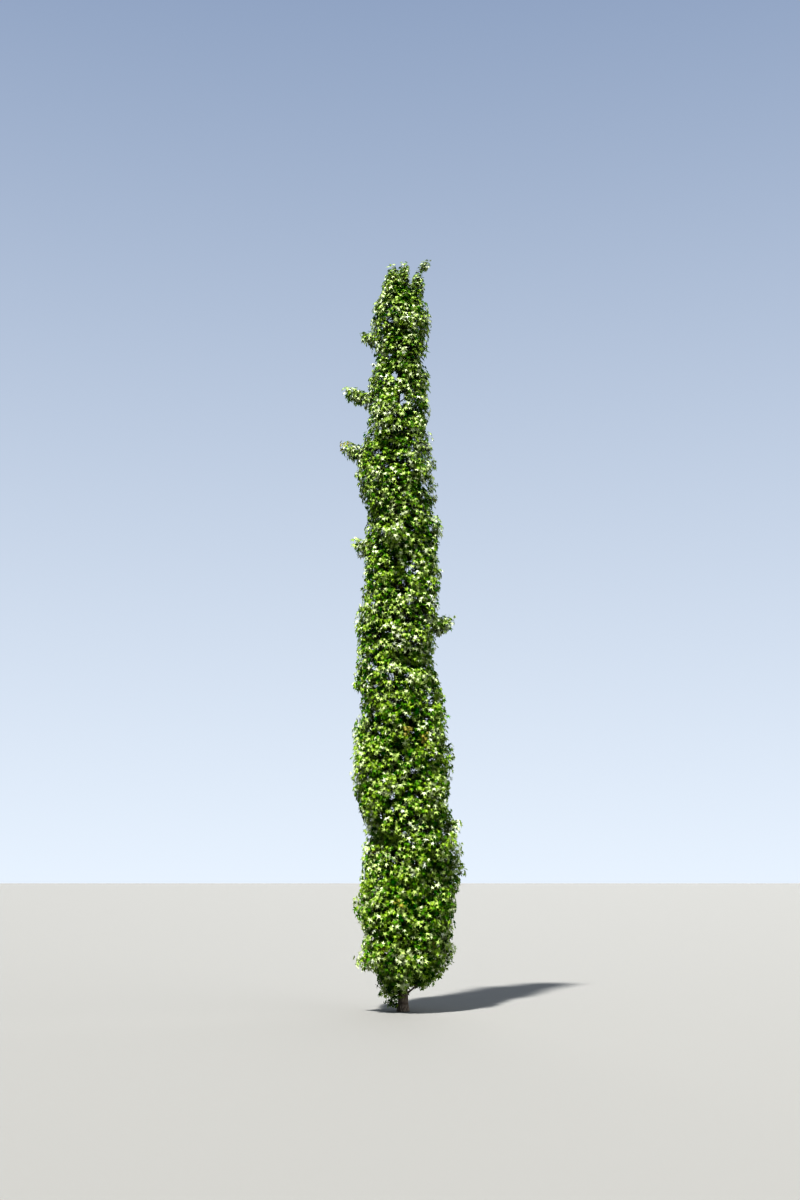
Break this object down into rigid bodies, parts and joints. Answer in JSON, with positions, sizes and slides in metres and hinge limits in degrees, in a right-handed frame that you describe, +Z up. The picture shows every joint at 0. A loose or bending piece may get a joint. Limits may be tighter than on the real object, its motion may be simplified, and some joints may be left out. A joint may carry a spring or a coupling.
{
  "type": "sweetgum tree",
  "caption": "Narrow, columnar sweetgum tree in leaf: one straight trunk with short upswept boughs, each ending in a dense mass of star-shaped leaves, with slim plumes at the top.",
  "frame": {"origin": "middle of the trunk's flat foot, where the trunk enters the ground", "axes": "+Z up the trunk, +X to the tree's right as pictured, -Y towards the viewer"},
  "size_m": [1.6384, 1.5022, 9.9956],
  "materials": {
    "bark": "rough grey-brown bark",
    "leaves": "fresh green leaves with a slight gloss"
  },
  "bodies": {
    "root": {"bough_01": "bark", "bough_02": "bark", "bough_03": "bark", "bough_04": "bark", "bough_05": "bark", "bough_06": "bark", "bough_07": "bark", "bough_08": "bark", "bough_09": "bark", "bough_10": "bark", "bough_11": "bark", "bough_12": "bark", "bough_13": "bark", "bough_14": "bark", "bough_15": "bark", "bough_16": "bark", "bough_17": "bark", "bough_18": "bark", "bough_19": "bark", "bough_20": "bark", "bough_21": "bark", "bough_22": "bark", "bough_23": "bark", "bough_24": "bark", "leaves_01": "leaves", "leaves_02": "leaves", "leaves_03": "leaves", "leaves_04": "leaves", "leaves_05": "leaves", "leaves_06": "leaves", "leaves_07": "leaves", "leaves_08": "leaves", "leaves_09": "leaves", "leaves_10": "leaves", "leaves_11": "leaves", "leaves_12": "leaves", "leaves_13": "leaves", "leaves_14": "leaves", "leaves_15": "leaves", "leaves_16": "leaves", "leaves_17": "leaves", "leaves_18": "leaves", "leaves_19": "leaves", "leaves_20": "leaves", "leaves_21": "leaves", "leaves_22": "leaves", "leaves_23": "leaves", "leaves_24": "leaves", "leaves_25": "leaves", "leaves_26": "leaves", "leaves_27": "leaves", "leaves_28": "leaves", "leaves_29": "leaves", "leaves_30": "leaves", "leaves_foot_shoot": "leaves", "leaves_top_left": "leaves", "leaves_top_middle": "leaves", "leaves_top_right": "leaves", "trunk": "bark"}
  },
  "joints": []
}
